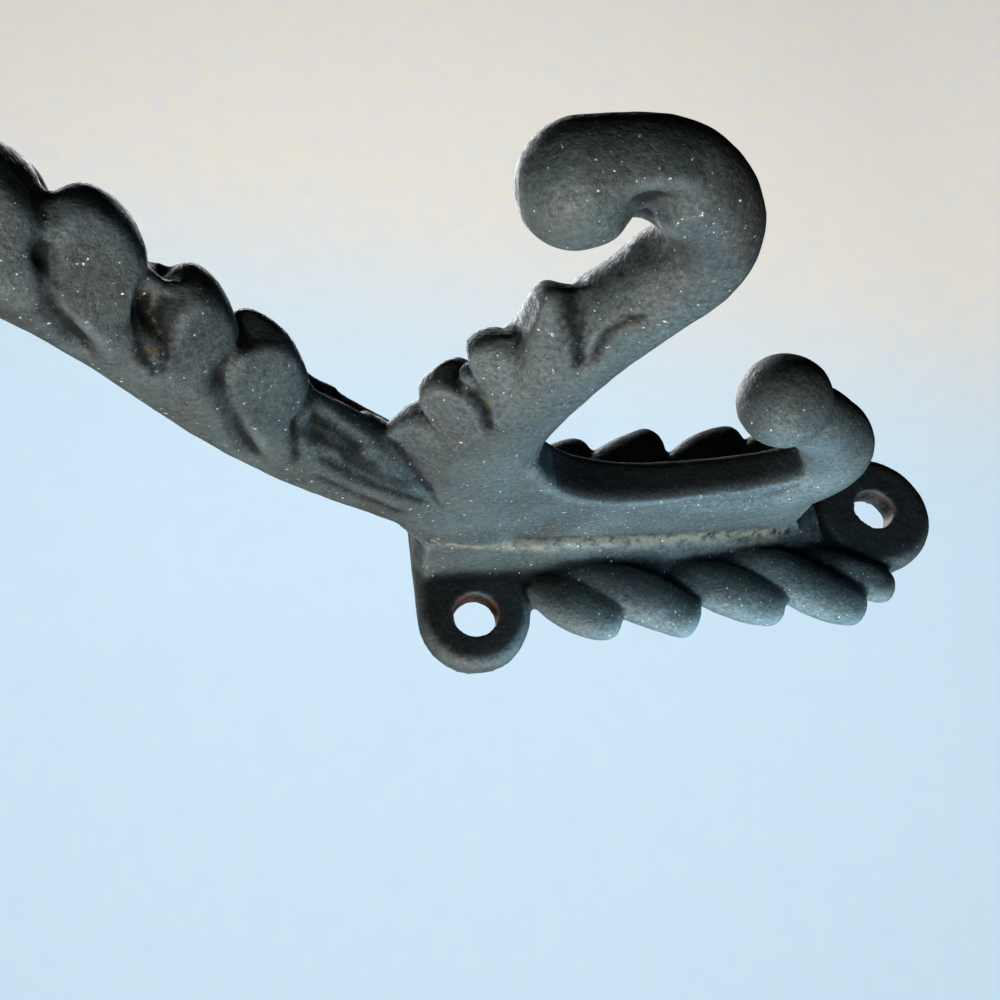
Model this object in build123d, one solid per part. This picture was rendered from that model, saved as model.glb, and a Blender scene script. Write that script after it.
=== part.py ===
from build123d import *
from math import cos, radians, sin
import os

# Triple wall hook, cast in one piece: a leaf-shaped wall plate that carries a long hat arm, a middle
# hook and a small lower hook. X runs across the plate, Y into the wall and Z up the wall. The origin
# is on the plate's back, which lies against the wall at Y = 0, so the hooks stand out towards -Y.

# Driving dimensions, in mm. Heights are measured up from the origin, reaches out from the wall.
PLATE_THICKNESS = 3.3       # of the screw ears
PLATE_EDGE = 1.4            # of the slope along the front edge of the plate
SCREW_HOLE_RADIUS = 2.5     # clears a No. 8 screw
EAR_HEIGHT = 26.3           # of the two upper screw holes
EAR_OFFSET = 8.6            # from the middle of the plate to an upper screw hole
EAR_WALL = 6.0              # from the middle of an upper screw hole to the end of its ear
EAR_DEPTH = 12.6            # of the upper ears, up the wall
EAR_CORNER = 5.9            # radius of the ears' corners
FOOT_RADIUS = 7.6           # of the lower screw ear
FOOT_HEIGHT = -25.0         # of the lower screw hole
FIELD_WIDTH = 15.0          # of the field between the leaf lobes
CROWN_REACH = 4.6           # of the field's crown, which falls away to both sides
CROWN_TOP = 31.0            # height of the crown's upper end
CROWN_BOTTOM = -19.0        # height of the crown's lower end
PLATE_LEAF_REACH = 1.6      # of the middle of the plate's leaf lobes
RIB_THICKNESS = 4.0         # of the rib that carries the hooks
RIB_REACH = 17.3            # of the rib's front edge from the wall
RIB_EDGE = 0.9              # of the slopes along the rib's front edge
RIB_TOP = 31.8              # height of the rib's upper end
RIB_BOTTOM = -13.0          # height of the rib's lower end
RIB_FOOT_REACH = 3.4        # from the wall to where the rib's foot begins to lean in
SUNK = 1.0                  # how deep the rib and its foot start inside the plate
HAT_LEAF_STAND = 2.2        # of the hat arm's leaf lobes over the arm
HOOK_LEAF_STAND = 1.6       # of the middle hook's leaf lobes over the hook
LEAF_LEAN = 28              # degrees that a lobe's crest leans ahead of its root
LEAF_SIDE = 0.25            # how far a lobe stands at its side, for each mm at its crest
BALL_RADIUS = 4.6           # on the end of the small hook

# A lobe swells slowly and then drops: (share of the lobe's length, share of its stand).
LOBE_PROFILE = ((0, 0.2), (0.3, 0.75), (0.65, 1), (0.9, 0.65))

# Degrees round a limb's end at which its rounding has a ring.
DOME_ANGLES = (30, 55, 76)

# Sections of the rib's foot: height, half width and reach at its top, and half width at its base.
RIB_FOOT_SECTIONS = ((31.8, 2.2, 10.5, 2.6), (24, 2.4, 9.4, 3.3), (12, 2.5, 7.2, 4.2),
                     (0, 2.5, 5.8, 5.0), (-10, 2.3, 5.0, 5.2), (-17, 1.0, 4.2, 3.4))

# The plate's leaf lobes on one side: (height, across) of the root and of the tip, and the radius.
PLATE_LEAVES = (((18.5, 5.3), (8.2, 11.2), 2.7), ((13.0, 4.5), (-0.6, 11.3), 3.0),
                ((-1.3, 5.5), (-12.4, 11.8), 2.9), ((-7.8, 4.6), (-20.8, 11.8), 3.0),
                ((-15.2, 4.5), (-25.3, 9.2), 2.5))


def at(height, reach, across=0.0):
    """A point given by its height, its reach out from the wall and its place across the plate."""
    return Vector(across, -reach, height)


class Limb:
    """A limb with an elliptical section along a smooth centre line.

    The centre line is a list of (height, reach). The half widths, across the plate, and the half
    depths are spread evenly along it. The crest is the side that carries the leaf: 1 on the upper
    side at the root, -1 on the lower side. A place along the limb is a share of its length.
    """

    def __init__(self, centre_line, half_widths, half_depths, crest=1):
        steps = len(half_widths) - 1
        sizes = [(step / steps, *size) for step, size in enumerate(zip(half_widths, half_depths))]
        self.spine = Spline(*[at(*point) for point in centre_line])
        self.size = Spline(*sizes)
        self.crest = crest

    def ring(self, share, scale=1.0, stand=0.0, lean=0.0):
        """A section, raised at the crest by stand, whose crest leans towards the tip by lean degrees."""
        size = self.size @ share
        square = Plane(origin=self.spine @ share, x_dir=(self.crest, 0, 0), z_dir=self.spine % share)
        depth = (size.Z + stand / 2) / cos(radians(lean))
        leaning = square * Rot(lean, 0, 0) * Pos(0, stand / 2, 0)
        return leaning * Ellipse(scale * (size.Y + LEAF_SIDE * stand), scale * depth)

    def plain(self, start, end, count, first_lean=0.0, last_lean=0.0):
        """Rings spread evenly from start to end, both included, with their lean changing evenly."""
        rings = []
        for number in range(count + 1):
            part = number / count
            lean = first_lean + (last_lean - first_lean) * part
            rings.append(self.ring(start + (end - start) * part, lean=lean))
        return rings

    def leaf(self, edges, stand):
        """Rings of the leaf's lobes, which swell slowly from one edge and drop at the next."""
        rings = []
        for start, end in zip(edges, edges[1:]):
            for part, swell in LOBE_PROFILE:
                rings.append(self.ring(start + (end - start) * part, 1, stand * swell, LEAF_LEAN))
        return rings

    def dome(self):
        """Rings that round off the far end."""
        depth = (self.size @ 1).Z
        ahead = self.spine % 1
        return [Pos(ahead * depth * sin(radians(angle))) * self.ring(1, cos(radians(angle)))
                for angle in DOME_ANGLES]


def plate_leaf(root, tip, radius):
    """A lobe that droops along the plate, from its pointed (height, across) root to its blunt tip."""
    start = at(root[0], PLATE_LEAF_REACH, root[1])
    along = at(tip[0], PLATE_LEAF_REACH, tip[1]) - start
    length = along.length
    outline = Polyline((0, 0.35 * radius), (length, radius), (length, 0), (0, 0), close=True)
    leaf = revolve(make_face(outline), Axis.X)
    return Plane(origin=start, x_dir=along, z_dir=(0, 1, 0)) * leaf


def plate_leaves():
    """Two pairs of drooping lobes and a small last one on each side of the plate."""
    leaves = [plate_leaf(*leaf) for leaf in PLATE_LEAVES]
    return leaves + [mirror(leaf, Plane.YZ) for leaf in leaves]


def plate():
    """The flat field and its three screw ears, sloped along the front edge."""
    ears = Pos(0, EAR_HEIGHT) * RectangleRounded(2 * (EAR_OFFSET + EAR_WALL), EAR_DEPTH, EAR_CORNER)
    foot = Pos(0, FOOT_HEIGHT) * Circle(FOOT_RADIUS)
    field_height = EAR_HEIGHT - FOOT_HEIGHT
    field = Pos(0, FOOT_HEIGHT + field_height / 2) * Rectangle(FIELD_WIDTH, field_height)
    slab = extrude(Plane.XZ * (ears + foot + field), PLATE_THICKNESS)
    return chamfer(slab.faces().sort_by(Axis.Y)[0].edges(), PLATE_EDGE)


def crown_section(height, half_width, reach):
    """A low arch across the plate, closed inside it."""
    side_reach = min(reach, PLATE_THICKNESS) - 0.2
    left = at(height, side_reach, -half_width)
    right = at(height, side_reach, half_width)
    arch = ThreePointArc(left, at(height, reach, 0), right)
    base = Polyline(right, at(height, SUNK, half_width), at(height, SUNK, -half_width), left)
    return make_face([arch, base])


def crown():
    """The low crown along the middle of the field, which sinks into it at both ends."""
    edge = 0.48 * FIELD_WIDTH
    fall = 9.0
    sections = [crown_section(CROWN_TOP, 0.6 * edge, PLATE_THICKNESS),
                crown_section(CROWN_TOP - fall, edge, CROWN_REACH),
                crown_section(CROWN_BOTTOM + fall, edge, CROWN_REACH),
                crown_section(CROWN_BOTTOM, 0.6 * edge, PLATE_THICKNESS)]
    return loft(sections, ruled=True)


def rib_foot():
    """The foot that carries the rib, tall and narrow at its upper end, low and wide at its lower end."""
    rings = []
    for height, top, reach, base in RIB_FOOT_SECTIONS:
        half = [at(height, SUNK, base), at(height, RIB_FOOT_REACH, base), at(height, reach, top)]
        other_half = [Vector(-point.X, point.Y, point.Z) for point in reversed(half)]
        rings.append(make_face(Polyline(*half, *other_half, close=True)))
    return loft(rings, ruled=True)


def rib():
    """The rib that joins the roots of the three hooks to the plate."""
    lower_end = at(-12.0, 24.0)
    upper_end = at(21.6, 27.0)
    edge = Spline(lower_end, at(-9.0, 19.8), at(0, RIB_REACH), at(12, RIB_REACH + 0.6),
                  at(18.2, 21.6), upper_end)
    rest = Polyline(upper_end, at(30, 30), at(34.5, 15.0), at(RIB_TOP, 9.5), at(RIB_TOP, SUNK),
                    at(RIB_BOTTOM, SUNK), at(RIB_BOTTOM, 10), lower_end)
    side = make_face([edge, rest])
    web = extrude(side, RIB_THICKNESS / 2, both=True, dir=(1, 0, 0))
    front = [line for line in web.edges() if line.geom_type == GeomType.BSPLINE]
    return chamfer(front, RIB_EDGE)


def hat_arm():
    """The long arm for a hat, with its leaf lobes and a plain rounded end."""
    centre_line = [(24, 6), (31.5, 18), (40.5, 28.5), (48.5, 40),
                   (54.5, 51), (61, 59.5), (71, 65.5), (82, 67.5)]
    half_widths = [3.0, 3.6, 4.2, 4.1, 3.9, 3.9]
    half_depths = [5.0, 5.0, 4.9, 4.6, 4.3, 4.2]
    arm = Limb(centre_line, half_widths, half_depths, crest=-1)
    lobe_edges = [0.41, 0.50, 0.60, 0.70, 0.78]
    rings = arm.plain(0.1, 0.38, 5, LEAF_LEAN, LEAF_LEAN) + arm.leaf(lobe_edges, HAT_LEAF_STAND)
    rings += arm.plain(0.80, 1, 3, LEAF_LEAN) + arm.dome()
    return loft(rings, ruled=True)


def middle_hook():
    """The middle hook, whose end curls over into a rounded bulb."""
    centre_line = [(25, 8), (27.0, 20), (26.4, 31.5), (21.8, 41.2),
                   (16.8, 48.8), (12.7, 56), (16.1, 61.5), (23.6, 61.9)]
    half_widths = [3.0, 3.4, 3.7, 3.7, 3.5, 3.2, 3.8]
    half_depths = [6.0, 6.6, 6.3, 5.2, 4.2, 3.6, 4.3]
    hook = Limb(centre_line, half_widths, half_depths)
    lobe_edges = [0.24, 0.315, 0.385, 0.46, 0.57]
    rings = hook.plain(0.1, 0.22, 3, LEAF_LEAN, LEAF_LEAN) + hook.leaf(lobe_edges, HOOK_LEAF_STAND)
    rings += hook.plain(0.60, 0.76, 3, LEAF_LEAN) + hook.plain(0.795, 1, 6) + hook.dome()
    return loft(rings, ruled=True)


def small_hook():
    """The small hook, which leaves the rib along the plate and turns up to a ball."""
    centre_line = [(4, 12.5), (-4, 12.5), (-9.2, 14.2), (-12.5, 18.7), (-10.3, 24.5), (-4.2, 30.3)]
    hook = Limb(centre_line, [2.3, 3.0, 3.4, 3.3, 3.1], [4.6, 4.6, 4.1, 3.7, 3.3])
    ball = Pos(at(-2.2, 32.0)) * Sphere(BALL_RADIUS)
    return [loft(hook.plain(0, 1, 10), ruled=True), ball]


def screw_holes():
    """Three plain holes square to the wall."""
    places = [(-EAR_OFFSET, EAR_HEIGHT), (EAR_OFFSET, EAR_HEIGHT), (0, FOOT_HEIGHT)]
    hole = Circle(SCREW_HOLE_RADIUS)
    return [extrude(Plane.XZ * Pos(*place) * hole, 4 * PLATE_THICKNESS, both=True) for place in places]


def casting():
    """All forms fused into one solid, flat at the wall and drilled for its screws."""
    forms = [plate(), *plate_leaves(), crown(), rib_foot(), rib(), hat_arm(), middle_hook(), *small_hook()]
    body = forms[0].fuse(*forms[1:])
    depth_in_wall = 20
    in_wall = Pos(0, depth_in_wall / 2, 0) * Box(100, depth_in_wall, 200)
    return body - in_wall - screw_holes()


os.makedirs("parts", exist_ok=True)
export_step(casting(), "parts/hook_casting.step")
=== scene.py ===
# %% [markdown]
# # Triple wall hook
# The real thing is one iron casting, poured in sand, painted black and worn on a wall for years: a leafy
# plate, a long hat arm, a middle hook that curls over and a small hook that ends in a ball. The CAD model
# is loaded first, as a fixed frame, because the finished piece has to lie where that solid does.

# %% Load the frame
import math

import bpy
import numpy as np
from mathutils import Matrix, Vector, noise
from mathutils.kdtree import KDTree


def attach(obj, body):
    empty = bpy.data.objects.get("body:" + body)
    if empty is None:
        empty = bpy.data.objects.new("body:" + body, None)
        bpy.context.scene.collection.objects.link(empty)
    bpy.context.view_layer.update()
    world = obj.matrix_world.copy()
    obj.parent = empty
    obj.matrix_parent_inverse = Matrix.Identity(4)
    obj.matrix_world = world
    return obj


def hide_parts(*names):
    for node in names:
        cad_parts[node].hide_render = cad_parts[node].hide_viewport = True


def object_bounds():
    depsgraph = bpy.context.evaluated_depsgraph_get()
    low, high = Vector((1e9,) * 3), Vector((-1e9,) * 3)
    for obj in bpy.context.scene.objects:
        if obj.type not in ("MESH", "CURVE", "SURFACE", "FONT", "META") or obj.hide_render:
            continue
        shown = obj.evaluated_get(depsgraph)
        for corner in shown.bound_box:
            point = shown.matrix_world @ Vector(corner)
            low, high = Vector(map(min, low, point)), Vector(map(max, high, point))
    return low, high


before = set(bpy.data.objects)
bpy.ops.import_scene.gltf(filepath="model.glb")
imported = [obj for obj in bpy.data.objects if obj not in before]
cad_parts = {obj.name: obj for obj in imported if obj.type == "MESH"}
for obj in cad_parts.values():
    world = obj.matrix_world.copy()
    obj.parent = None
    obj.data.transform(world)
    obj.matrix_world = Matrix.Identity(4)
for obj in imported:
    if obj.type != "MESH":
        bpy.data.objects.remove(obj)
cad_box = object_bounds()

MM = 0.001
print("CAD box", cad_box)


# %% [markdown]
# ## The camera
# The hook is seen from outside and a little above, from its left, with the wide lens of a telephone held
# close to it. Such a lens is given by its focal length on a sensor of a known width, so both are set. The
# camera comes first, so that each form can be looked at while it is made.

# %% Camera
def add_camera(place, right, up):
    """A camera at a place in mm, given the directions of its right side and its top."""
    back = Vector(right).cross(Vector(up))
    data = bpy.data.cameras.new("camera")
    data.lens = 36.0
    data.sensor_width = 36.0
    data.clip_start = 0.01
    camera = bpy.data.objects.new("camera", data)
    bpy.context.collection.objects.link(camera)
    turn = Matrix((right, up, back)).transposed()
    camera.matrix_world = Matrix.Translation(Vector(place) * MM) @ turn.to_4x4()
    return camera


camera = add_camera((-44.45, -110.12, 40.30), (-0.1389, -0.1079, -0.9844), (0.8979, -0.4329, -0.0792))
bpy.context.scene.camera = camera
bpy.ops.object.select_all(action="DESELECT")
print("camera", [round(value, 3) for value in camera.matrix_world.translation], "lens", camera.data.lens)

# %% [markdown]
# ## Limbs
# Each hook is a limb: an oval section carried along a smooth line. A bevelled curve would give the plain
# limb, but not the leaves cut into it, so a flat grid is wrapped round the line in code, as a sheet of
# wax is wrapped round a wire, and each of its points is raised or sunk where the leaf is cut.


# %% A smooth line through a few points
def smooth_line(points):
    """A function that gives the natural cubic spline through points, for distances from 0 to 1 along it."""
    points = np.array(points, float)
    knots = np.concatenate(([0], np.cumsum(np.linalg.norm(np.diff(points, axis=0), axis=1))))
    steps = np.diff(knots)
    count = len(points)
    system = np.eye(count)
    wanted = np.zeros_like(points)
    for i in range(1, count - 1):
        system[i, i - 1:i + 2] = steps[i - 1], 2 * (steps[i - 1] + steps[i]), steps[i]
        wanted[i] = 6 * ((points[i + 1] - points[i]) / steps[i] - (points[i] - points[i - 1]) / steps[i - 1])
    bend = np.linalg.solve(system, wanted)

    def at(place):
        place = np.clip(place, knots[0], knots[-1])
        i = np.clip(np.searchsorted(knots, place, side="right") - 1, 0, count - 2)
        step = steps[i][:, None]
        back = (knots[i + 1] - place)[:, None] / step
        ahead = 1 - back
        return (back * points[i] + ahead * points[i + 1]
                + ((back ** 3 - back) * bend[i] + (ahead ** 3 - ahead) * bend[i + 1]) * step ** 2 / 6)

    fine = np.linspace(0, knots[-1], 2001)
    length = np.concatenate(([0], np.cumsum(np.linalg.norm(np.diff(at(fine), axis=0), axis=1))))
    return (lambda share: at(np.interp(np.asarray(share) * length[-1], length, fine))), length[-1]


# %% A limb wrapped from a grid
RING_STEP = 0.35     # mm from one ring of a limb to the next
FACET_REACH = 1.04   # where the second plane lies on the side of -X, against the plain oval
FACET_SPARE = 0.24   # how much farther out it lies on the other side, where it cuts less
PLANE_BLEND = 0.25   # mm over which a planed face runs into the round


def soft_step(value, low, high):
    """0 below low, 1 above high, and smooth between."""
    part = np.clip((value - low) / (high - low), 0, 1)
    return part * part * (3 - 2 * part)


class Limb:
    """The points of a limb on a grid: rings along it, and an angle from its crest round each ring.

    The line's points are (height, reach) or (height, reach, across), in mm. The crest is 1 or -1 for a
    limb in the middle plane, with the crest on its upper or lower side at the root, and 0 for one that
    lies on the plate, with its crest outwards. Flat is how far out, in half widths, its sides are planed,
    and facet is the angle from the crest to which a second plane on each side is turned.
    """

    def __init__(self, line, half_widths, half_depths, crest=1, tip=0.0, flat=0.0, facet=0.0, around=96):
        self.at, self.length = smooth_line([(point[2] if len(point) > 2 else 0.0, -point[1], point[0])
                                            for point in line])
        self.crest = crest
        self.flat = flat
        self.facet = math.radians(facet)
        even = np.linspace(0, 100, len(half_widths))
        sizes, _ = smooth_line(np.column_stack([even, half_widths, half_depths]))
        table = sizes(np.linspace(0, 1, 400))
        self.rings = int((self.length + tip) / RING_STEP)
        self.around = around
        self.share = np.linspace(0, 1 + tip / self.length, self.rings + 1)[:, None] * np.ones((1, around + 1))
        self.angle = np.linspace(-180, 180, around + 1)[None, :] * np.ones((self.rings + 1, 1))
        self.width = np.interp(self.share[:, 0] * 100, table[:, 0], table[:, 1])
        self.depth = np.interp(self.share[:, 0] * 100, table[:, 0], table[:, 2])
        self.scale = np.ones(self.rings + 1)
        self.height = np.zeros_like(self.share)
        # How dark each point of the cuts is painted as shade, and how much dust lies on it.
        self.painted_shade = np.zeros_like(self.share)
        self.dust = np.zeros_like(self.share)

    def side(self):
        """The angle from the crest, the same on both sides of the limb."""
        return np.abs(self.angle)

    def dome(self, reach, blunt=2.0):
        """Rounds off the far end over the last millimetres of the line; a higher blunt is squarer."""
        left = np.clip((self.share[-1, 0] - self.share[:, 0]) * self.length / reach, 0, 1)
        self.scale = self.scale * np.clip(1 - (1 - left) ** blunt, 0, 1) ** (1 / blunt)

    def frames(self):
        """The line's points, with the directions of the crest and of the side at each."""
        share = self.share[:, 0]
        end = self.at([0.995, 1.0])
        beyond = np.maximum(share - 1, 0)[:, None] * (end[1] - end[0]) / 0.005
        centre = self.at(np.minimum(share, 1)) + beyond
        ahead = np.gradient(centre, axis=0)
        ahead /= np.linalg.norm(ahead, axis=1)[:, None]
        if self.crest:
            side = np.array([float(self.crest), 0.0, 0.0]) * np.ones_like(centre)
        else:
            side = np.cross(ahead, (0.0, 1.0, 0.0))
            side /= np.linalg.norm(side, axis=1)[:, None]
        return centre, np.cross(ahead, side), side

    def points(self):
        """The grid's points in mm, raised by the leaf's height square to the plain limb."""
        centre, crest, side = self.frames()
        angle = np.radians(self.angle)
        deep = (self.scale * self.depth)[:, None]
        wide = (self.scale * self.width)[:, None]
        out_crest = np.cos(angle) * wide
        out_side = np.sin(angle) * deep
        size = np.hypot(out_crest, out_side) + 1e-9
        lift = self.height * self.scale[:, None]
        on_crest = np.cos(angle) * deep + lift * out_crest / size
        on_side = np.sin(angle) * wide + lift * out_side / size
        if self.facet:
            turn = np.array([math.sin(self.facet), math.cos(self.facet)])
            reach = FACET_REACH + FACET_SPARE * soft_step(on_side * self.crest, -1.5, 1.5)
            plane = reach * np.hypot(wide * turn[0], deep * turn[1])
            over = np.abs(on_side) * turn[0] + on_crest * turn[1] - plane
            cut = PLANE_BLEND * np.logaddexp(0, over / PLANE_BLEND)
            on_side = on_side - np.sign(on_side) * cut * turn[0]
            on_crest = on_crest - cut * turn[1]
        if self.flat:
            spare = self.flat * wide - np.abs(on_side)
            planed = self.flat * wide - PLANE_BLEND * np.logaddexp(0, spare / PLANE_BLEND)
            on_side = np.sign(on_side) * planed
        return centre[:, None] + on_crest[..., None] * crest[:, None] + on_side[..., None] * side[:, None]


# %% From a grid of points to a closed mesh
def deselect():
    bpy.ops.object.select_all(action="DESELECT")


def active():
    return bpy.context.view_layer.objects.active


def place_points(piece, points):
    """Gives a piece's points their places, in mm."""
    piece.data.vertices.foreach_set("co", (points * MM).astype(np.float32).ravel())
    piece.data.update()


def read_points(piece, kind="co"):
    """A piece's points in metres, or with the kind "normal" their normals, one in each row."""
    values = np.empty(3 * len(piece.data.vertices), np.float32)
    piece.data.vertices.foreach_get(kind, values)
    return values.reshape(-1, 3).astype(float)


def wrap(name, limb):
    """A grid primitive wrapped round a limb, welded along its seam and closed at both ends."""
    deselect()
    bpy.ops.mesh.primitive_grid_add(x_subdivisions=limb.around, y_subdivisions=limb.rings, size=1)
    piece = active()
    piece.name = name
    place_points(piece, limb.points())
    bpy.ops.object.mode_set(mode="EDIT")
    bpy.ops.mesh.select_all(action="SELECT")
    bpy.ops.mesh.remove_doubles(threshold=0.01 * MM)
    bpy.ops.mesh.select_all(action="DESELECT")
    bpy.ops.mesh.select_non_manifold(extend=False)
    bpy.ops.mesh.edge_face_add()
    bpy.ops.mesh.select_all(action="SELECT")
    bpy.ops.mesh.normals_make_consistent(inside=False)
    bpy.ops.object.mode_set(mode="OBJECT")
    print(name, "length", round(float(limb.length), 1), "points", len(piece.data.vertices))
    return piece


# %% [markdown]
# ## Leaf cuts
# A leaf lobe swells from one cut to the next. Each cut is a slanting line round the limb, given by its
# place along the limb at a few angles from the crest. A sculptor would model such a lobe in clay and cut
# round it with a gouge. Here a profile gives its swelling from the cut at the tip (0) to the one at the
# root (1).

# %% Profiles of a lobe
TIP_HEAVY = ((0, 0), (0.06, 0.45), (0.14, 0.8), (0.28, 1), (0.45, 0.98), (0.65, 0.8), (0.85, 0.5),
             (0.95, 0.22), (1, 0))
ROOT_HEAVY = tuple((1 - part, height) for part, height in reversed(TIP_HEAVY))
STEEP_TIP = ((0, 0), (0.05, 0.6), (0.12, 0.93), (0.2, 1), (0.35, 0.85), (0.6, 0.5), (0.8, 0.25),
             (0.9, 0.12), (1, 0))
PLANED = ((0, 0.5), (0.06, 0.9), (0.15, 1), (0.9, 1), (0.97, 0.9), (1, 0.6))
EVEN = ((0, 0), (0.08, 0.45), (0.2, 0.8), (0.38, 1), (0.62, 1), (0.8, 0.82), (0.93, 0.45), (1, 0))
SIDE_FROM, SIDE_TO = 38, 62   # degrees from the crest, between which a lobe takes on its side form
print("profiles", len((TIP_HEAVY, ROOT_HEAVY, STEEP_TIP, PLANED, EVEN)))


# %% Lobe
def cut_line(limb, cut):
    """The share at which a cut crosses each angle; a cut is a list of (angle, share)."""
    return np.interp(limb.side(), [angle for angle, _ in cut], [share for _, share in cut])


def lobe(limb, tip_cut, root_cut, stand, form=EVEN, side_form=None, full=35, gone=105):
    """Raises a lobe between two cuts, by stand on the crest and less and less down the side.

    Its swelling from tip to root may take another form on the side than on the crest.
    """
    tip = cut_line(limb, tip_cut)
    root = cut_line(limb, root_cut)
    across = np.clip((tip - limb.share) / np.maximum(tip - root, 1e-4), 0, 1)
    swell = np.interp(across, [part for part, _ in form], [height for _, height in form])
    if side_form:
        side_swell = np.interp(across, [part for part, _ in side_form], [height for _, height in side_form])
        swell += (side_swell - swell) * soft_step(limb.side(), SIDE_FROM, SIDE_TO)
    limb.height = np.maximum(limb.height, stand * swell * (1 - soft_step(limb.side(), full, gone)))


# %% [markdown]
# Finer cuts, creases and veins are strokes of a tool, with a width, a depth and a way to fade at both
# ends. A stroke also notes how much painted shade or dust lies in it, for the material to use later.


# %% Stroke
def stroke(limb, path, width, lift, painted_shade=0.0, dust=0.0, fade=0.15, hand=0):
    """Cuts or raises a stroke along (share, angle) points, and marks painted shade or dust in it.

    Hand is -1 or 1 for a stroke on one side of the limb only.
    """
    radius = (limb.width + limb.depth).mean() / 2
    x = limb.share * limb.length
    y = np.radians(limb.side()) * radius
    nearest = np.full(x.shape, 1e9)
    where = np.zeros(x.shape)
    marks = [np.array([share * limb.length, math.radians(angle) * radius]) for share, angle in path]
    for i, (start, end) in enumerate(zip(marks, marks[1:])):
        run = end - start
        part = np.clip(((x - start[0]) * run[0] + (y - start[1]) * run[1]) / (run @ run), 0, 1)
        far = np.hypot(x - start[0] - part * run[0], y - start[1] - part * run[1])
        where = np.where(far < nearest, (i + part) / (len(marks) - 1), where)
        nearest = np.minimum(far, nearest)
    ends = soft_step(where, -0.001, fade) * (1 - soft_step(where, 1 - fade, 1.001))
    near = np.exp(-(nearest / width) ** 2) * ends
    if hand:
        near = near * (np.sign(limb.angle) == hand)
    limb.height = limb.height + lift * near
    # The cut is painted dark, as shade in it.
    limb.painted_shade = np.maximum(limb.painted_shade, painted_shade * near)
    limb.dust = np.maximum(limb.dust, dust * near)


# %% [markdown]
# ## The hat arm
# Four lobes lie on the side that faces the middle hook. Their cuts slant back towards the root, two of
# them leave an open pocket between them, and long fine veins run from the last lobe into the root. The
# cuts are named by the lobes A to D, counted from the tip. The arm is shaped in the order a carver would
# take: first the lobes, then the deep cuts round them, and the veins last.

# %% Lobes of the hat arm
arm = Limb([(24, 6), (31.5, 18), (40.5, 28.5), (48.5, 40), (54.5, 51), (61, 59.5), (71, 65.5), (82, 67.5)],
           [3.0, 3.6, 4.25, 4.25, 4.15, 4.1], [5.0, 5.0, 4.9, 4.6, 4.3, 4.2],
           crest=-1, tip=4.2, flat=1.05, facet=56)
ARM_LAST = [(0, 0.80), (60, 0.78), (110, 0.75)]
ARM_ROOT = [(0, 0.25), (110, 0.15)]
ARM_AB = [(0, 0.722), (44, 0.709), (68, 0.693), (84, 0.673), (100, 0.647), (120, 0.61)]
ARM_B_ROOT = [(0, 0.640), (24, 0.645), (52, 0.633), (70, 0.610), (76, 0.583), (110, 0.56)]
ARM_C_TIP = [(0, 0.619), (28, 0.613), (56, 0.597), (76, 0.580), (110, 0.54)]
ARM_CD = [(0, 0.535), (25, 0.545), (50, 0.53), (68, 0.487), (98, 0.425), (110, 0.40)]
ARM_D_ROOT = [(0, 0.43), (25, 0.435), (45, 0.435), (60, 0.422), (75, 0.395), (110, 0.34)]
lobe(arm, ARM_LAST, ARM_AB, 1.75, TIP_HEAVY, PLANED, full=50, gone=110)
lobe(arm, ARM_AB, ARM_B_ROOT, 2.4, TIP_HEAVY, PLANED, full=50, gone=110)
lobe(arm, ARM_C_TIP, ARM_CD, 1.8, TIP_HEAVY, PLANED, full=50, gone=110)
lobe(arm, ARM_CD, ARM_D_ROOT, 2.35, TIP_HEAVY, PLANED, full=50, gone=110)
lobe(arm, ARM_D_ROOT, ARM_ROOT, 0.2, EVEN)
print("hat arm, highest lobe mm", round(float(arm.height.max()), 2))

# %% Cuts round the arm's lobes
# The two edges of the pocket, the valleys from A to B and from C to D, the edge of D with the hollow
# beyond it, and the dusty floor of the pocket.
# The deep cuts are also painted dark, as shade in them.
stroke(arm, [(0.648, 8), (0.633, 52), (0.610, 70), (0.583, 76)], 0.4, -0.9, painted_shade=1.0)
stroke(arm, [(0.583, 76), (0.597, 56), (0.613, 28), (0.617, 5)], 0.4, -0.8, painted_shade=1.0)
stroke(arm, [(0.714, 15), (0.710, 38), (0.686, 75), (0.651, 94), (0.62, 112)], 0.9, -1.8, painted_shade=0.6, fade=0.3)
stroke(arm, [(0.560, 15), (0.545, 49), (0.495, 68), (0.440, 96), (0.40, 112)], 0.9, -1.8, painted_shade=0.6, fade=0.3)
stroke(arm, [(0.440, 30), (0.425, 52), (0.412, 64), (0.39, 78)], 0.4, -0.8, painted_shade=1.0)
stroke(arm, [(0.415, 20), (0.395, 55), (0.37, 80)], 1.6, -0.6)
stroke(arm, [(0.635, 10), (0.622, 40), (0.600, 68)], 0.9, -1.6, dust=1.0)
print("hat arm, deepest cut mm", round(float(arm.height.min()), 2))

# %% Veins of the hat arm
# The veins are painted dark, as shade in them.
stroke(arm, [(0.42, 18), (0.38, 24), (0.32, 32)], 0.5, -0.9, painted_shade=1.0)
stroke(arm, [(0.41, 34), (0.355, 40), (0.29, 42)], 0.35, -0.8, painted_shade=0.8, dust=0.3)
stroke(arm, [(0.36, 50), (0.30, 52), (0.235, 50)], 0.35, -0.6, painted_shade=0.7)
stroke(arm, [(0.395, 58), (0.323, 62), (0.245, 62), (0.198, 60)], 0.4, -0.8, painted_shade=1.0)
stroke(arm, [(0.375, 80), (0.285, 88), (0.195, 94)], 0.4, -0.6, painted_shade=0.9)
arm.dome(4.2)
arm_piece = wrap("hat_arm", arm)

# %% [markdown]
# ## The middle hook
# Its leaf is folded like a fan on the side that faces the hat arm, with deep creases beyond the last
# folds. The end curls back and swells, and a notch in its near side keeps the curl open. The cuts
# between the folds are numbered from the root.

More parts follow.
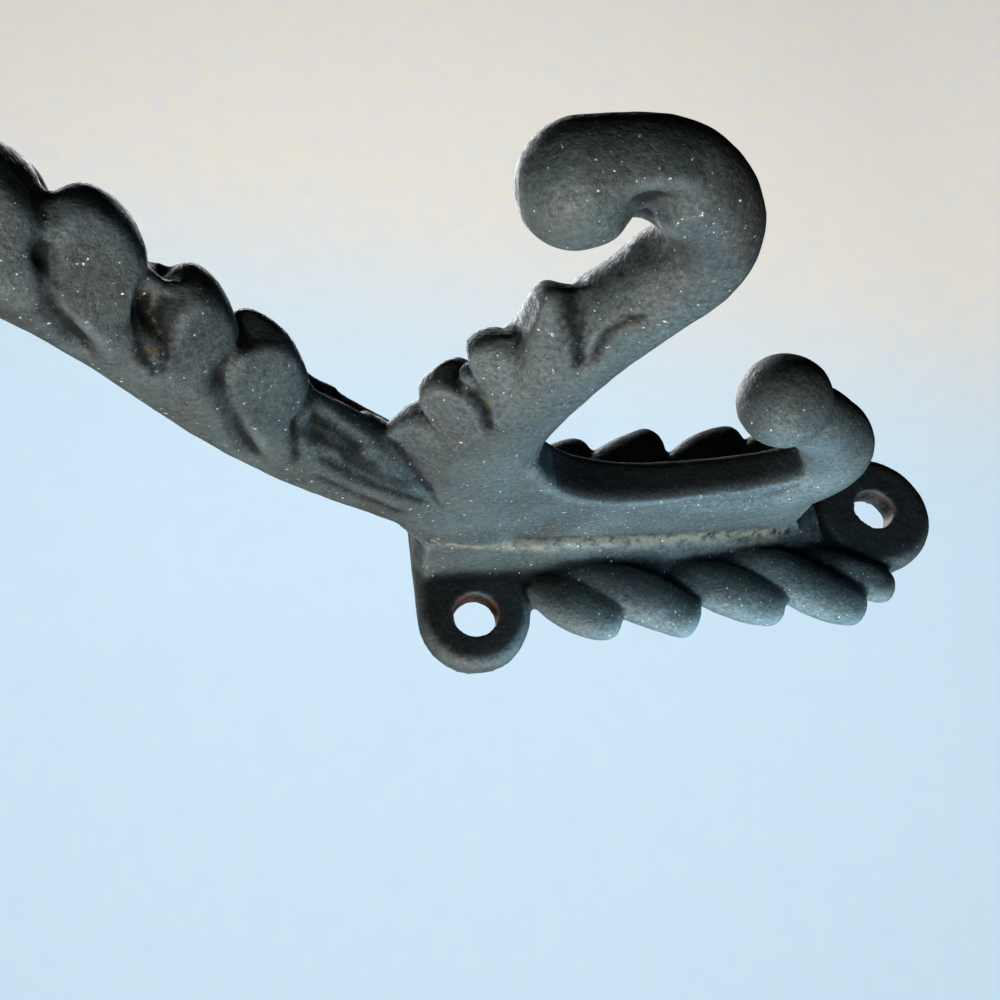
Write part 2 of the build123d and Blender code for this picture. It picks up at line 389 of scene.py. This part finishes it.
# %% Folds of the middle hook
hook = Limb([(25, 8), (27.0, 20), (26.4, 31.5), (21.8, 41.2),
             (16.8, 48.8), (12.7, 56), (16.1, 61.5, 0.2), (23.6, 61.9)],
            [3.0, 3.4, 3.7, 3.7, 3.6, 3.6, 4.0], [6.0, 6.4, 6.05, 5.0, 4.05, 3.45, 4.3],
            tip=4.3, flat=1.08, facet=60)
HOOK_0 = [(0, 0.285), (60, 0.25)]
HOOK_1 = [(0, 0.375), (30, 0.365), (60, 0.33)]
HOOK_2 = [(0, 0.470), (36, 0.455), (60, 0.43), (100, 0.40)]
HOOK_3 = [(0, 0.54), (24, 0.525), (46, 0.492), (80, 0.46)]
HOOK_4 = [(0, 0.645), (38, 0.615), (80, 0.576), (100, 0.56)]
lobe(hook, HOOK_1, HOOK_0, 3.0, ROOT_HEAVY, full=15, gone=60)
lobe(hook, HOOK_2, HOOK_1, 2.5, ROOT_HEAVY, PLANED, full=20, gone=80)
lobe(hook, HOOK_3, HOOK_2, 2.5, ROOT_HEAVY, PLANED, full=20, gone=80)
lobe(hook, HOOK_4, HOOK_3, 2.7, STEEP_TIP, PLANED, full=20, gone=80)
print("middle hook, highest fold mm", round(float(hook.height.max()), 2))

# %% Creases of the middle hook
# Three creases with a streak of dust beside the first, the notch of the curl, and a fuller shaft inside
# the curl.
# The creases are painted dark, as shade in them.
stroke(hook, [(0.436, -20), (0.440, 6), (0.445, 22), (0.438, 42), (0.408, 72)], 0.45, -1.6, painted_shade=1.0)
stroke(hook, [(0.455, 12), (0.458, 30), (0.440, 52)], 0.45, -0.3, dust=0.8)
stroke(hook, [(0.65, -30), (0.632, 0), (0.606, 38), (0.569, 80)], 0.55, -1.6, painted_shade=1.0)
stroke(hook, [(0.578, 84), (0.635, 54), (0.662, 54), (0.688, 64)], 0.4, -0.7, painted_shade=0.9, dust=0.2)
stroke(hook, [(0.931, 2), (0.941, 130)], 1.75, -2.1, fade=0.2, hand=-1)
stroke(hook, [(0.66, 30), (0.84, 30)], 2.2, 0.45, fade=0.3)
hook.dome(4.3)
hook_piece = wrap("middle_hook", hook)

# %% [markdown]
# ## The small hook
# It leaves the rib along the plate and turns up to a ball, cast solid with the neck. The ball is a plain
# sphere primitive with enough faces to look round.

# %% Small hook
BALL_RADIUS = 4.5
small = Limb([(4, 12.5), (-4, 12.5), (-9.2, 14.2), (-12.4, 18.7), (-10.2, 24.5), (-4.2, 30.3)],
             [2.3, 3.0, 3.4, 3.3, 3.1], [4.6, 4.6, 4.1, 3.7, 3.3])
small_piece = wrap("small_hook", small)
deselect()
bpy.ops.mesh.primitive_uv_sphere_add(segments=64, ring_count=32, radius=BALL_RADIUS * MM,
                                     location=(0, -32.0 * MM, -2.0 * MM))
ball_piece = active()
ball_piece.name = "ball"
print("ball across mm", 2 * BALL_RADIUS)

# %% [markdown]
# ## The plate
# A flat field with three ears. The two upper ears are one cube, the field is another and the lower ear
# is a cylinder, with their edges rounded by the bevel operator, wide at the front, as a worn pattern
# leaves them. The holes are drilled by Boolean modifiers, which are applied at once, because the pieces
# are joined later.


# %% Rounded blocks and holes
UPPER_HOLES = [(-8.6, 26.3), (8.6, 26.3)]   # (across, height) in mm
LOWER_HOLE = (0, -25)
HOLE_RADIUS = 2.5
PLATE_ROUND = 1.7                           # the rounding of the ears' front edges


def pick_edges(piece, wanted):
    """Selects the edges whose two ends, in mm, both satisfy a condition."""
    bpy.ops.object.mode_set(mode="EDIT")
    bpy.ops.mesh.select_mode(type="EDGE")
    bpy.ops.mesh.select_all(action="DESELECT")
    bpy.ops.object.mode_set(mode="OBJECT")
    for edge in piece.data.edges:
        ends = [piece.data.vertices[i].co / MM for i in edge.vertices]
        edge.select = wanted(*ends)
    bpy.ops.object.mode_set(mode="EDIT")


def block(name, low, high, corner, front):
    """A plate block between two corners in mm, with its upright corners and its front edges rounded."""
    deselect()
    low, high = Vector(low), Vector(high)
    bpy.ops.mesh.primitive_cube_add(size=1, location=(low + high) / 2 * MM, scale=(high - low) * MM)
    bpy.ops.object.transform_apply(location=True, rotation=True, scale=True)
    piece = active()
    piece.name = name
    if corner:
        pick_edges(piece, lambda a, b: abs(a.y - b.y) > 1)
        bpy.ops.mesh.bevel(offset=corner * MM, segments=12, affect="EDGES")
        bpy.ops.object.mode_set(mode="OBJECT")
    pick_edges(piece, lambda a, b: a.y < low.y + 0.01 and b.y < low.y + 0.01)
    bpy.ops.mesh.bevel(offset=front * MM, segments=6, affect="EDGES")
    bpy.ops.object.mode_set(mode="OBJECT")
    return piece


def drill(piece, places):
    """Drills plain holes square to the wall at (across, height) places."""
    for across, height in places:
        deselect()
        bpy.ops.mesh.primitive_cylinder_add(vertices=48, radius=HOLE_RADIUS * MM, depth=30 * MM,
                                            location=(across * MM, 0, height * MM),
                                            rotation=(math.pi / 2, 0, 0))
        bit = active()
        deselect()
        piece.select_set(True)
        bpy.context.view_layer.objects.active = piece
        cut = piece.modifiers.new("drill", "BOOLEAN")
        cut.operation = "DIFFERENCE"
        cut.solver = "EXACT"
        cut.object = bit
        bpy.ops.object.modifier_apply(modifier=cut.name)
        bpy.data.objects.remove(bit)


# %% Ears
# They taper a little towards their ends, about the height of their holes.
ears = block("ears", (-14.6, -3.4, 19.5), (14.6, 0, 33.0), 6.4, PLATE_ROUND)
ear_points = read_points(ears) / MM
middle = UPPER_HOLES[0][1]
taper = 1 - 0.09 * np.clip((np.abs(ear_points[:, 0]) - 3) / 11.6, 0, 1)
ear_points[:, 2] = middle + (ear_points[:, 2] - middle) * taper
place_points(ears, ear_points)
drill(ears, UPPER_HOLES)
print("ears, points", len(ears.data.vertices))

# %% Field and foot
field = block("field", (-7.5, -3.0, -25), (7.5, 0, 26.3), 0, 1.2)
deselect()
bpy.ops.mesh.primitive_cylinder_add(vertices=96, radius=7.6 * MM, depth=3.4 * MM,
                                    location=(0, -1.7 * MM, -25 * MM), rotation=(math.pi / 2, 0, 0))
bpy.ops.object.transform_apply(location=True, rotation=True, scale=True)
foot = active()
foot.name = "foot"
pick_edges(foot, lambda a, b: a.y < -3.39 and b.y < -3.39)
bpy.ops.mesh.bevel(offset=PLATE_ROUND * MM, segments=6, affect="EDGES")
bpy.ops.object.mode_set(mode="OBJECT")
drill(foot, [LOWER_HOLE])
drill(field, UPPER_HOLES + [LOWER_HOLE])
plate_pieces = [ears, field, foot]
print("field and foot, points", len(field.data.vertices), len(foot.data.vertices))

# %% [markdown]
# ## The plate's leaves
# On each side hang two pairs of lobes and a last small one. Each is a short fat limb that droops from
# the crown to a blunt tip, thick enough to cover the edge of the field. On this casting the lobes on the
# side of +X stand half a millimetre farther out.

# %% Plate leaves
# Each lobe: its line as (height, reach, across), its half widths and its half depths, all in mm.
FAR_LIFT = 0.5
PLATE_LOBES = [
    ([(19.2, 2.4, 5.4), (15.8, 2.9, 7.9), (12.2, 2.7, 10.0), (9.6, 2.2, 10.9)],
     [1.8, 2.9, 3.0, 2.2], [1.2, 2.0, 2.3, 2.0]),
    ([(17.0, 2.6, 4.6), (12.0, 3.0, 6.0), (6.2, 3.0, 8.8), (0.5, 2.4, 12.0)],
     [1.4, 2.7, 3.1, 2.2], [1.2, 2.2, 2.6, 2.0]),
    ([(2.2, 2.4, 5.4), (-2.6, 2.8, 7.9), (-7.0, 2.6, 10.1), (-10.2, 2.2, 11.2)],
     [1.8, 2.9, 3.0, 2.2], [1.2, 2.2, 2.5, 2.0]),
    ([(-4.0, 2.6, 4.6), (-10.0, 3.0, 6.8), (-15.2, 2.8, 10.1), (-20.2, 2.0, 12.3)],
     [1.4, 2.7, 3.1, 2.2], [1.2, 2.2, 2.6, 2.0]),
    ([(-15.0, 2.2, 5.0), (-19.0, 2.4, 7.2), (-22.6, 2.2, 9.2), (-24.8, 1.8, 10.0)],
     [1.4, 2.2, 2.5, 2.0], [1.2, 1.8, 2.0, 1.7])]
for number, (line, widths, depths) in enumerate(PLATE_LOBES):
    for hand in (-1, 1):
        side_line = [(height, reach + FAR_LIFT * (1 + hand) / 2, hand * across)
                     for height, reach, across in line]
        leaf = Limb(side_line, widths, depths, crest=0, around=48)
        leaf.dome(1.6, blunt=2.6)
        plate_pieces.append(wrap(f"plate_leaf_{number}_{hand}", leaf))

# %% [markdown]
# ## Crown, rib and rib foot
# A low crown runs down the middle of the plate. On it stands the foot of the rib, which splays towards
# the plate in a hollow curve. It is bridged from a few eight-sided rings, each a circle primitive, with
# the bridge operator. The rib itself is a flat web, extruded from its outline, whose front edge is
# rounded by a bevel.

# %% Crown
crown = Limb([(31.0, 0.6), (24, 1.0), (10, 1.0), (-6, 1.0), (-19, 0.6)],
             [5.2, 6.4, 7.4, 7.2, 5.0], [2.4, 3.4, 3.6, 3.4, 2.2], crest=0, around=64)
crown.dome(3.0)
plate_pieces.append(wrap("crown", crown))


# %% Rib foot
def bridged(name, rings):
    """A closed piece bridged between rings of points in mm, each a circle primitive moved to its place."""
    made = []
    for ring in rings:
        deselect()
        bpy.ops.mesh.primitive_circle_add(vertices=len(ring), radius=MM)
        made.append(active())
        place_points(active(), np.array(ring))
    deselect()
    for piece in made:
        piece.select_set(True)
    bpy.context.view_layer.objects.active = made[0]
    bpy.ops.object.join()
    piece = active()
    piece.name = name
    bpy.ops.object.mode_set(mode="EDIT")
    bpy.ops.mesh.select_all(action="SELECT")
    bpy.ops.mesh.bridge_edge_loops()
    bpy.ops.mesh.select_all(action="DESELECT")
    bpy.ops.mesh.select_non_manifold(extend=False)
    bpy.ops.mesh.edge_face_add()
    bpy.ops.mesh.select_all(action="SELECT")
    bpy.ops.mesh.normals_make_consistent(inside=False)
    bpy.ops.object.mode_set(mode="OBJECT")
    print(name, "rings", len(rings), "points", len(piece.data.vertices))
    return piece


def foot_ring(height, top, reach, base):
    """One ring of the rib's foot: half widths at its top and its base, and its reach from the wall."""
    waist = (0.65 * base + 0.35 * top, -2.4 - 0.3 * reach, height)
    right = [(top, -reach, height), waist, (base, -3.2, height), (base, -1, height)]
    return [(-across, out, up) for across, out, up in reversed(right)] + right


RIB_FOOT = [(32.6, 1.6, 8.6, 1.9), (31.6, 2.9, 10.4, 3.5), (24, 3.1, 9.4, 4.0), (12, 2.9, 7.2, 4.4),
            (0, 2.6, 5.8, 5.0), (-10, 2.3, 5.0, 5.2), (-17, 1.0, 4.2, 3.4)]
rib_foot = bridged("rib_foot", [foot_ring(*sizes) for sizes in RIB_FOOT])
plate_pieces.append(rib_foot)

# %% Rib
# The outline runs up the throat, and then over the top and down the plate. The web is thicker where the
# hat arm and the middle hook leave it.
RIB_THICKNESS = 4.0
front, _ = smooth_line([(0, -24.0, -12.0), (0, -19.8, -9.0), (0, -17.3, 0),
                        (0, -17.9, 12), (0, -21.6, 18.2), (0, -27.0, 21.6)])
outline = [tuple(point) for point in front(np.linspace(0, 1, 25))]
outline += [(0, -30, 30), (0, -15.0, 34.5), (0, -9.5, 31.8), (0, -1, 31.8),
            (0, -1, -16.5), (0, -3.5, -14.6), (0, -7, -12.6), (0, -12, -12.6)]
deselect()
bpy.ops.mesh.primitive_circle_add(vertices=len(outline), radius=MM, fill_type="NGON")
rib = active()
rib.name = "rib"
place_points(rib, np.array(outline) + (-RIB_THICKNESS / 2, 0, 0))
bpy.ops.object.mode_set(mode="EDIT")
bpy.ops.mesh.select_all(action="SELECT")
bpy.ops.mesh.extrude_region_move(TRANSFORM_OT_translate={"value": (RIB_THICKNESS * MM, 0, 0)})
bpy.ops.mesh.select_all(action="SELECT")
bpy.ops.mesh.normals_make_consistent(inside=False)
bpy.ops.object.mode_set(mode="OBJECT")


def on_front(point):
    """Whether a point in mm lies on the rib's edge in the throat."""
    return point.y < -17 and -12.1 < point.z < 21.7


rib_points = read_points(rib) / MM
rib_points[:, 0] *= np.interp(rib_points[:, 2], [0, 10, 20, 27, 32], [1.15, 1.3, 1.5, 1.5, 1.15])
place_points(rib, rib_points)
pick_edges(rib, lambda a, b: on_front(a) and on_front(b) and abs(a.x - b.x) < 0.1)
bpy.ops.mesh.bevel(offset=1.2 * MM, segments=5, affect="EDGES")
bpy.ops.object.mode_set(mode="OBJECT")
plate_pieces.append(rib)
print("rib, points", len(rib.data.vertices))

# %% [markdown]
# ## One casting
# The pieces are joined and remeshed into one skin, as the iron is one piece, and then smoothed a little,
# because a sand casting has no sharp inner corner. A Boolean union would leave every seam sharp. The
# step of the remesh is fine enough for the cuts, and still keeps the skin under 200,000 triangles.

# %% Join, remesh and smooth
SKIN_STEP = 0.37
pieces = [arm_piece, hook_piece, small_piece, ball_piece] + plate_pieces
deselect()
for piece in pieces:
    piece.select_set(True)
bpy.context.view_layer.objects.active = arm_piece
bpy.ops.object.join()
casting = active()
casting.name = "hook_casting_finished"
bpy.ops.object.transform_apply(location=True, rotation=True, scale=True)
remesh = casting.modifiers.new("union", "REMESH")
remesh.mode = "VOXEL"
remesh.voxel_size = SKIN_STEP * MM
bpy.ops.object.modifier_apply(modifier=remesh.name)
smooth = casting.modifiers.new("smooth", "SMOOTH")
smooth.factor = 0.5
smooth.iterations = 2
bpy.ops.object.modifier_apply(modifier=smooth.name)
bpy.ops.object.shade_smooth()
print("triangles", sum(len(p.vertices) - 2 for p in casting.data.polygons))

# %% An uneven skin
# Each point is moved a little along its normal, because the skin of a sand casting is never quite even.
# The waves are about 3 mm and 1 mm long. Then the back is cut flat, and the skin is kept in the CAD box.
UNEVEN = 0.06
waves = np.array([noise.noise(vertex.co * 300) + 0.6 * noise.noise(vertex.co * 900)
                  for vertex in casting.data.vertices])
places = read_points(casting) + read_points(casting, "normal") * (UNEVEN * MM * waves)[:, None]
low, high = np.array(cad_box[0]), np.array(cad_box[1])
print("moved by mm", round(float(UNEVEN * np.abs(waves).max()), 3))
print("outside the CAD box by mm", (low - places.min(0)) / MM, (places.max(0) - high) / MM)
places = np.clip(places.astype(np.float32), low, high)
casting.data.vertices.foreach_set("co", places.ravel())

# %% [markdown]
# ## Marks for the paint
# The material has to know where painted shade, dust, rust and wear lie. Each is kept as an attribute, a
# number at every point of the skin. The marks laid by the strokes are carried over from the nearest point
# of the limbs' grids, and the others are worked out from the place and the shape.

# %% Marks of the strokes
MARK_REACH = 1.0   # mm
tree_points = np.concatenate([limb.points().reshape(-1, 3) for limb in (arm, hook)])
painted_shade_marks = np.concatenate([limb.painted_shade.ravel() for limb in (arm, hook)])
dust_marks = np.concatenate([limb.dust.ravel() for limb in (arm, hook)])
tree = KDTree(len(tree_points))
for i, point in enumerate(tree_points):
    tree.insert(point, i)
tree.balance()
painted_shade = np.zeros(len(places))
dust = np.zeros(len(places))
for i, place in enumerate(places / MM):
    _, near, far = tree.find(place)
    if far < MARK_REACH:
        painted_shade[i] = painted_shade_marks[near]
        dust[i] = dust_marks[near]
# Dark paint here is painted shade in the cuts.
print("points with dark paint", int((painted_shade > 0.5).sum()), "and with dust", int((dust > 0.5).sum()))


# %% Hollows and ridges
def hollows(places, edges, normals, rounds):
    """How far, in mm, each point lies below a skin that is smoothed round after round."""
    counts = np.bincount(edges.ravel(), minlength=len(places))[:, None]
    near, far = edges[:, 0], edges[:, 1]
    skin = places.astype(float)
    for _ in range(rounds):
        total = np.column_stack([np.bincount(near, skin[far, axis], len(places))
                                 + np.bincount(far, skin[near, axis], len(places)) for axis in range(3)])
        skin = 0.5 * skin + 0.5 * total / counts
    return ((skin - places) * normals).sum(axis=1) / MM


edges = np.empty(2 * len(casting.data.edges), np.int32)
casting.data.edges.foreach_get("vertices", edges)
edges = edges.reshape(-1, 2)
normals = read_points(casting, "normal")
narrow_hollows = hollows(places, edges, normals, 9)
broad_hollows = hollows(places, edges, normals, 90)
for name, values in (("narrow hollows", narrow_hollows), ("broad hollows", broad_hollows)):
    print(name, "mm", np.percentile(values, (1, 50, 99)).round(3))

# %% Painted shade on the flats and in the throat, rusty holes and a worn crease
# Shade is painted dark on the plate's flat front and on the throat's outward faces. Rust shows round the
# holes, where screws have rubbed, and the crease where the rib meets its foot is worn pale.
height, reach = places[:, 2] / MM, -places[:, 1] / MM
sideways = np.abs(places[:, 0])
flat_front = soft_step(-normals[:, 1], 0.8, 0.97) * (1 - soft_step(reach, 3.8, 4.6))
in_throat = (sideways < 3.5 * MM) * (reach > 14) * (reach < 24) * (height > -9) * (height < 19)
throat_front = soft_step(-normals[:, 1], 0.3, 0.7) * in_throat
painted_shade = np.maximum(painted_shade, 0.75 * np.maximum(flat_front, throat_front))
in_holes = np.zeros(len(places))
for (across, up), strength in zip(UPPER_HOLES + [LOWER_HOLE], (1.0, 1.0, 0.5)):
    far = np.hypot(places[:, 0] / MM - across, height - up)
    in_holes = np.maximum(in_holes, strength * np.clip((3.2 - far) / 0.5, 0, 1) * (places[:, 1] > -5 * MM))
crease_reach = np.interp(height, [-14, -8.6, 5.3, 18.6, 31], [4.6, 5.1, 6.3, 8.0, 11.5])
on_crease = (0.75 * np.exp(-((reach - crease_reach) / 0.65) ** 2) * (sideways < 3.6 * MM)
             * (height > -12) * (height < 31))
print("points on flats", int((flat_front > 0.5).sum()), "in holes", int((in_holes > 0.5).sum()),
      "on the crease", int((on_crease > 0.5).sum()))

# %% The finished casting in the frame
for name, values in (("painted_shade", painted_shade), ("dust", dust), ("hollow", narrow_hollows),
                     ("broad_hollow", broad_hollows), ("rust", in_holes), ("worn", on_crease)):
    layer = casting.data.attributes.new(name, "FLOAT", "POINT")
    layer.data.foreach_set("value", values.astype(np.float32))
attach(casting, "root")
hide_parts("hook_casting")
print("attributes", [layer.name for layer in casting.data.attributes])

# %% [markdown]
# ## Materials
# A few small helpers come first: one turns a hex colour to the linear numbers that Blender works with,
# one adds a node, one lays a colour over another, and one turns a size in mm to the scale of a pattern.


# %% Node helpers
def linear(code):
    """A hex sRGB colour as linear RGBA."""
    parts = [int(code[i:i + 2], 16) / 255 for i in (1, 3, 5)]
    return tuple(p / 12.92 if p <= 0.04045 else ((p + 0.055) / 1.055) ** 2.4 for p in parts) + (1.0,)


def node(tree, kind, settings=None, **links):
    """Adds a node, sets its properties and links or sets its inputs by name, or by number as _0."""
    made = tree.nodes.new(kind)
    for key, value in (settings or {}).items():
        setattr(made, key, value)
    for key, value in links.items():
        socket = made.inputs[int(key[1:])] if key[0] == "_" else made.inputs[key.replace("_", " ")]
        if hasattr(value, "is_output"):
            tree.links.new(value, socket)
        else:
            socket.default_value = value
    return made


def mix(tree, share, first, second):
    """The second colour laid over the first by a share; each is a hex code or a node's output."""
    colours = {key: linear(value) if isinstance(value, str) else value
               for key, value in (("_6", first), ("_7", second))}
    return node(tree, "ShaderNodeMix", {"data_type": "RGBA"}, _0=share, **colours).outputs[2]


def per_mm(size):
    """The scale of a pattern whose features are size mm across, in metres."""
    return 1 / (size * MM)


print("mid grey as linear", [round(part, 3) for part in linear("#808080")[:3]])

# %% [markdown]
# ## Black stove paint on sand-cast iron
# Iron cast in sand keeps the grain of the sand, and old stove paint over it dries dull and grey-green:
# it gives the eye a soft broad sheen, without any sharp reflection. Shade is painted black into the cuts,
# the hollows, the plate's flat front and the throat, ochre dust lies in the pockets, the ridges are paler,
# partly rubbed and partly a painted highlight, and a little rust shows at the holes. The sand's grain is
# about 0.2 mm, and is drawn at 0.45 mm, because finer grain would not show.

# %% Patterns and marks
material = bpy.data.materials.new("black_stove_paint_on_sand_cast_iron")
material.use_nodes = True
paint = material.node_tree
shader = paint.nodes["Principled BSDF"]
place = node(paint, "ShaderNodeTexCoord").outputs["Object"]
hollow, broad, painted_shade_mark, dust_mark, rust_mark, worn_mark = [
    node(paint, "ShaderNodeAttribute", {"attribute_name": name}).outputs["Fac"]
    for name in ("hollow", "broad_hollow", "painted_shade", "dust", "rust", "worn")]


def pattern(size, detail=3.0, rough=0.55):
    """Noise in the paint, with features size mm across."""
    return node(paint, "ShaderNodeTexNoise", Vector=place, Scale=per_mm(size), Detail=detail,
                Roughness=rough).outputs["Fac"]


def ramp(value, low, high, to_low=0.0, to_high=1.0):
    """Spreads a value from low..high over 0..1, held at both ends."""
    return node(paint, "ShaderNodeMapRange", {"interpolation_type": "SMOOTHSTEP"}, Value=value,
                From_Min=low, From_Max=high, To_Min=to_low, To_Max=to_high).outputs["Result"]


def times(a, b):
    return node(paint, "ShaderNodeMath", {"operation": "MULTIPLY"}, _0=a, _1=b).outputs[0]


def plus(a, b):
    return node(paint, "ShaderNodeMath", {"operation": "ADD", "use_clamp": True}, _0=a, _1=b).outputs[0]


clouds = pattern(7.0)              # slow changes in the paint, a finger's width across
patches = pattern(2.2, 4.0)        # patches where the paint has dulled
streaks = pattern(1.1, 4.0, 0.65)  # dust wiped into streaks
grain = pattern(0.45, 3.0, 0.7)    # the sand's grain, coarser than it is
specks = pattern(0.4, 2.0)         # specks of plaster dust
print("nodes so far", len(paint.nodes))

# %% Colour of the paint
# Each layer is laid over the ones before it: a share from 0 to 1, and the colour it brings.
in_cuts = ramp(hollow, 0.02, 0.12)
colour = mix(paint, ramp(clouds, 0.35, 0.65), "#2F3636", "#404846")
for share, layer in (
        (times(ramp(patches, 0.45, 0.7), 0.45), "#3E3E33"),                  # patches of olive
        (times(ramp(pattern(9.0, 4.0, 0.6), 0.5, 0.7), 0.5), "#2E251C"),     # brown clouds
        (times(ramp(grain, 0.5, 0.72), 0.45), "#566060"),                    # tops of the grain
        (times(ramp(grain, 0.5, 0.3), 0.6), "#101313"),                      # pits of the grain
        (times(in_cuts, 0.85), "#060707"),                                   # painted shade in narrow cuts
        (times(ramp(broad, 0.08, 0.5), 0.8), "#0A0D0E"),                     # painted shade in broad hollows
        (times(ramp(hollow, -0.03, -0.13), 0.5), "#5A6262"),                 # ridges paler: rubbed wear and a painted highlight
        (times(dust_mark, ramp(streaks, 0.42, 0.6)), "#6A5A3C"),             # ochre dust
        (times(worn_mark, ramp(streaks, 0.33, 0.58)), "#787262"),            # the worn crease
        (times(rust_mark, ramp(patches, 0.35, 0.6)), "#5E3A28"),             # rust
        (times(ramp(specks, 0.69, 0.75), 0.9), "#B9BFBA"),                   # pale specks of dust
        (painted_shade_mark, "#030506")):                                             # painted shade in the cuts, on the flats and in the throat
    colour = mix(paint, share, colour, layer)
paint.links.new(colour, shader.inputs["Base Color"])
print("nodes with colour", len(paint.nodes))

# %% Gloss and bump of the paint
# The specular level is low, because chalky old paint shines less than fresh paint.
shader.inputs["Specular IOR Level"].default_value = 0.3
dull = times(plus(painted_shade_mark, in_cuts), 0.4)
paint.links.new(plus(ramp(grain, 0.3, 0.7, 0.68, 0.46), dull), shader.inputs["Roughness"])
sand = node(paint, "ShaderNodeBump", Strength=0.75, Distance=0.15 * MM, Height=grain)
dimples = node(paint, "ShaderNodeBump", Strength=0.5, Distance=0.25 * MM, Height=pattern(1.3, 3.0),
               Normal=sand.outputs["Normal"])
paint.links.new(dimples.outputs["Normal"], shader.inputs["Normal"])
casting.data.materials.clear()
casting.data.materials.append(material)
print("material", material.name, "nodes", len(paint.nodes))

# %% [markdown]
# ## Stage
# A sheet of pale card lies under the hook and sweeps up behind it. It is matt, and its colour is painted
# cool towards the window and warmer towards the room, as light from each would tint it. Its fibres would be
# too fine to show, so they are drawn as a soft mottling 16 mm across. It is one grid primitive whose rows
# follow the profile of the sweep. It neither lights the hook nor shows in its sheen, so that the lamps alone
# decide how dark the hook is.

# %% Sweep
BEND = 0.35   # metres, the radius of the sweep's bend
profile = [(-1.6, -0.80), (0.15, -0.80)]
for degrees in range(6, 91, 6):
    turn = math.radians(degrees)
    profile.append((0.15 + BEND * math.sin(turn), -0.45 - BEND * math.cos(turn)))
profile.append((0.50, 1.6))
deselect()
bpy.ops.mesh.primitive_grid_add(x_subdivisions=1, y_subdivisions=len(profile) - 1, size=1)
card = active()
card.name = "card_sweep"
card_points = [(x, y, z) for y, z in profile for x in (-2.0, 2.0)]
card.data.vertices.foreach_set("co", np.array(card_points, np.float32).ravel())
card.data.update()
bpy.ops.object.shade_smooth()
card.visible_diffuse = False
card.visible_glossy = False
print("sweep, points", len(card.data.vertices))

# %% Pale card
card_material = bpy.data.materials.new("pale_card")
card_material.use_nodes = True
paper = card_material.node_tree
paper_place = node(paper, "ShaderNodeTexCoord").outputs["Object"]
# Painted light: the card is painted cooler on the window's side and warmer towards the room.
towards_room = node(paper, "ShaderNodeVectorMath", {"operation": "DOT_PRODUCT"},
                    _0=paper_place, _1=(1, 0, -0.25))
warmth = node(paper, "ShaderNodeMapRange", {"interpolation_type": "SMOOTHSTEP"},
              Value=towards_room.outputs["Value"], From_Min=0.28, From_Max=0.55)
fibres = node(paper, "ShaderNodeTexNoise", Vector=paper_place, Scale=per_mm(16.0), Detail=5.0, Roughness=0.7)
mottle = node(paper, "ShaderNodeMapRange", Value=fibres.outputs["Fac"],
              From_Min=0.4, From_Max=0.7, To_Max=0.3)
sheet = mix(paper, warmth.outputs["Result"], "#C3DCEC", "#DED9CE")
paper_shader = paper.nodes["Principled BSDF"]
paper.links.new(mix(paper, mottle.outputs["Result"], sheet, "#BFD0E6"), paper_shader.inputs["Base Color"])
paper_shader.inputs["Roughness"].default_value = 0.9
card.data.materials.append(card_material)
print("material", card_material.name, "nodes", len(paper.nodes))

# %% [markdown]
# ## Lamps
# One large soft lamp stands at the left of the hook, as a window does. A small one close to the plate
# stands for the light that the card throws back on the leaves, another gives the sheen on the rounds, and
# one behind the right side keeps that side from going black. The room adds a little from the front. The
# card has a lamp of its own, so that it stays pale however dark the hook is.

# %% Lamps
def lamp(name, place, size, power, colour, aim=(0, -0.035, 0.025)):
    """A square soft lamp at a place in metres, turned to the hook."""
    data = bpy.data.lights.new(name, "AREA")
    data.shape = "SQUARE"
    data.size = size
    data.energy = power
    data.color = linear(colour)[:3]
    made = bpy.data.objects.new(name, data)
    bpy.context.collection.objects.link(made)
    made.location = place
    made.rotation_euler = (Vector(aim) - Vector(place)).to_track_quat("-Z", "Y").to_euler()
    return made


window = lamp("window", (-0.52, 0.0, 0.20), 0.45, 7.2, "#F6F8FA")
glow = lamp("glow_of_the_card", (-0.030, -0.001, -0.008), 0.045, 0.036, "#A8E0FF", aim=(0, -0.002, -0.008))
sheen = lamp("sheen", (-0.36, -0.20, 0.10), 0.12, 0.42, "#FFFFFF")
far_side = lamp("far_side", (0.40, 0.28, 0.12), 0.35, 5.0, "#EEF2F6")
room = lamp("room", (0.1, -0.7, 0.5), 0.5, 0.06, "#FFEBD6")
card_light = lamp("card_light", (0.24, -1.1, 0.0), 1.2, 34.5, "#FFFFFF", aim=(0.2, 0.5, 0.0))
only_card = bpy.data.collections.new("only_card")
only_card.objects.link(card)
card_light.light_linking.receiver_collection = only_card
only_iron = bpy.data.collections.new("only_iron")
only_iron.objects.link(casting)
for light in (window, glow, sheen, far_side):
    light.light_linking.receiver_collection = only_iron
lamps = (window, glow, sheen, far_side, room, card_light)
for light in lamps:
    light.visible_camera = False
print("lamps", [(light.name, light.data.energy) for light in lamps])

# %% Surroundings
# Past the edges of the card the world is plain and pale too. Only the camera sees it, and it lights nothing.
world = bpy.data.worlds.new("pale_room")
bpy.context.scene.world = world
world.use_nodes = True
background = world.node_tree.nodes["Background"]
background.inputs["Color"].default_value = linear("#D5DEE4")
background.inputs["Strength"].default_value = 0.9
world.cycles_visibility.diffuse = False
world.cycles_visibility.glossy = False
bpy.context.scene.view_settings.view_transform = "Standard"
print("world", world.name)
